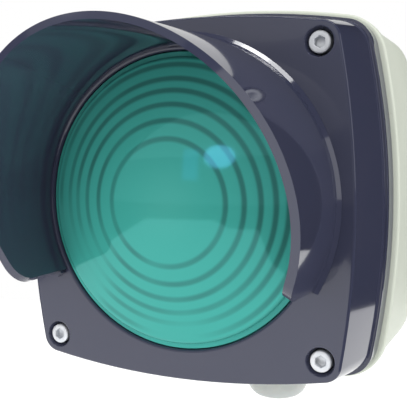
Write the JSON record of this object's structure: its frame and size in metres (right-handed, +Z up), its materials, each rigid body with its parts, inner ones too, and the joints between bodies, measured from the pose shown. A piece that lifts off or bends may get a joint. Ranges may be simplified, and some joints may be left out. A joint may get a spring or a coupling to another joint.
{
  "type": "traffic signal head",
  "caption": "Single-aspect traffic signal head: black bowed-square cover with hooded green lens on a pale grey wall housing with a cable gland.",
  "frame": {"origin": "centre of the housing's flat back face, which lies against the wall", "axes": "+Y out of the back into the wall, so the lens faces -Y; +Z up; +X to the right as seen from the front"},
  "size_m": [0.1648, 0.167, 0.1799],
  "materials": {
    "grey_housing": "pale grey-green moulded housing, fine grain",
    "black_cover": "near-black glossy moulding with a navy cast",
    "green_lens": "green signal lens, glossy outside and stepped rings inside",
    "rubber": "black seal rubber",
    "grey_nylon": "light grey nylon",
    "reflector_metal": "bright metallised bowl",
    "bulb_glass": "clear blown glass",
    "brass": "nickel-brass",
    "cream_moulding": "cream moulded insulator",
    "zinc_steel": "bright zinc plated steel",
    "blue_lead": "blue insulated lead",
    "brown_lead": "brown insulated lead"
  },
  "bodies": {
    "base": {"rear_housing": "grey_housing", "housing_gasket": "rubber", "reflector": "reflector_metal", "lamp_holder": "cream_moulding", "lamp_bracket": "zinc_steel", "terminal_block": "cream_moulding", "lead_neutral": "blue_lead", "lead_live": "brown_lead", "gland_body": "grey_nylon", "gland_seal": "rubber", "gland_lock_nut": "grey_nylon", "gland_grommet": "rubber", "threaded_insert_1": "brass", "threaded_insert_2": "brass", "threaded_insert_3": "brass", "threaded_insert_4": "brass", "holder_contact_1": "brass", "bracket_screw_1": "zinc_steel", "terminal_fixing_1": "zinc_steel", "holder_contact_2": "brass", "bracket_screw_2": "zinc_steel", "terminal_fixing_2": "zinc_steel", "terminal_screw_1": "brass", "terminal_screw_2": "brass", "terminal_screw_3": "brass"},
    "cover": {"front_cover": "black_cover", "visor": "black_cover", "lens": "green_lens", "lens_gasket": "rubber", "lens_clamp_ring": "grey_nylon", "lens_clamp_screw_1": "zinc_steel", "lens_clamp_screw_2": "zinc_steel", "lens_clamp_screw_3": "zinc_steel", "lens_clamp_screw_4": "zinc_steel", "cover_screw_seal_1": "rubber", "cover_screw_seal_2": "rubber", "cover_screw_seal_3": "rubber", "cover_screw_seal_4": "rubber"},
    "cover_screw_1_body": {"cover_screw_1": "zinc_steel"},
    "cover_screw_2_body": {"cover_screw_2": "zinc_steel"},
    "cover_screw_3_body": {"cover_screw_3": "zinc_steel"},
    "cover_screw_4_body": {"cover_screw_4": "zinc_steel"},
    "bulb": {"bulb_glass": "bulb_glass", "bulb_cap": "brass"},
    "dome_nut": {"gland_dome_nut": "grey_nylon"}
  },
  "joints": [
    {"name": "cover_lift", "type": "slide", "parent": "base", "child": "cover", "axis": [0, -1, 0], "range_m": [0, 0.12]},
    {"name": "cover_screw_1_turn", "type": "hinge", "parent": "cover", "child": "cover_screw_1_body", "pos_m": [0.06, -0.0996, 0.06], "axis": [0, -1, 0], "range_deg": [0, 3600]},
    {"name": "cover_screw_2_turn", "type": "hinge", "parent": "cover", "child": "cover_screw_2_body", "pos_m": [-0.06, -0.0996, 0.06], "axis": [0, -1, 0], "range_deg": [0, 3600]},
    {"name": "cover_screw_3_turn", "type": "hinge", "parent": "cover", "child": "cover_screw_3_body", "pos_m": [-0.06, -0.0996, -0.06], "axis": [0, -1, 0], "range_deg": [0, 3600]},
    {"name": "cover_screw_4_turn", "type": "hinge", "parent": "cover", "child": "cover_screw_4_body", "pos_m": [0.06, -0.0996, -0.06], "axis": [0, -1, 0], "range_deg": [0, 3600]},
    {"name": "bulb_turn", "type": "hinge", "parent": "base", "child": "bulb", "pos_m": [0, -0.043, 0], "axis": [0, -1, 0], "range_deg": [0, 25]},
    {"name": "dome_nut_turn", "type": "hinge", "parent": "base", "child": "dome_nut", "pos_m": [0.019, -0.032, -0.09], "axis": [0, 0, 1], "range_deg": [-1080, 0]}
  ]
}
